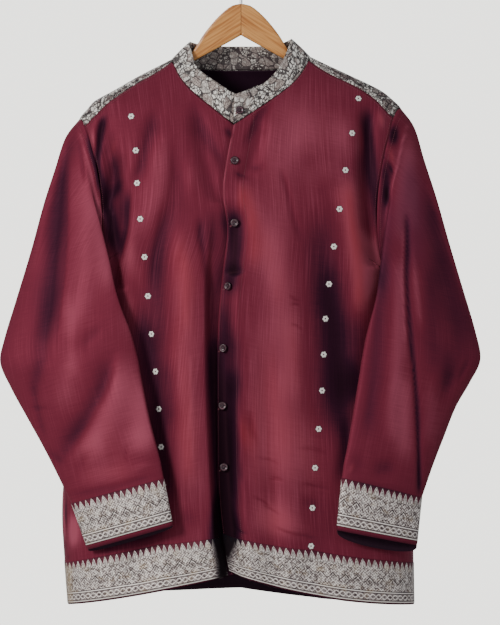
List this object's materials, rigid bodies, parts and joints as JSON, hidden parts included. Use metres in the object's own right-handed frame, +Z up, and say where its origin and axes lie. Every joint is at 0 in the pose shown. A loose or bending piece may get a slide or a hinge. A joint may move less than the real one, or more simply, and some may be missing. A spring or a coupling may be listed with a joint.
{
  "type": "kasavu shirt on a wooden hanger",
  "caption": "Long-sleeved silk shirt with a stand collar and yoke of figured brocade, woven metallic borders at hem and cuffs, hung by its shoulders on a wooden hanger.",
  "frame": {"origin": "top of the inside of the hanger's hook, where it rests on its rail", "axes": "+Z up, the shirt's front faces -Y, the wearer's left side is towards +X; millimetre solids, metre record"},
  "size_m": [0.664, 0.1729, 0.8909],
  "materials": {
    "silk": "lustrous plain-woven silk, maroon",
    "brocade": "silver-grey figured brocade with a dark ground",
    "dark_silk": "dark purple silk, inside of the yoke",
    "button": "polished dark maroon",
    "wood": "clear-varnished light wood",
    "hook_metal": "bright plated steel wire"
  },
  "bodies": {
    "root": {"front_left": "silk", "front_right": "silk", "back": "silk", "hem_band_front_left": "brocade", "hem_band_front_right": "brocade", "hem_band_back": "brocade", "yoke": "brocade", "yoke_facing": "dark_silk", "sleeve_right": "silk", "cuff_band_right": "brocade", "sleeve_left": "silk", "cuff_band_left": "brocade", "collar": "brocade", "button_collar": "button", "button_1": "button", "button_2": "button", "button_3": "button", "button_4": "button", "button_5": "button", "button_6": "button", "hanger_arm_right": "wood", "hanger_arm_left": "wood", "hanger_hook": "hook_metal"}
  },
  "joints": []
}
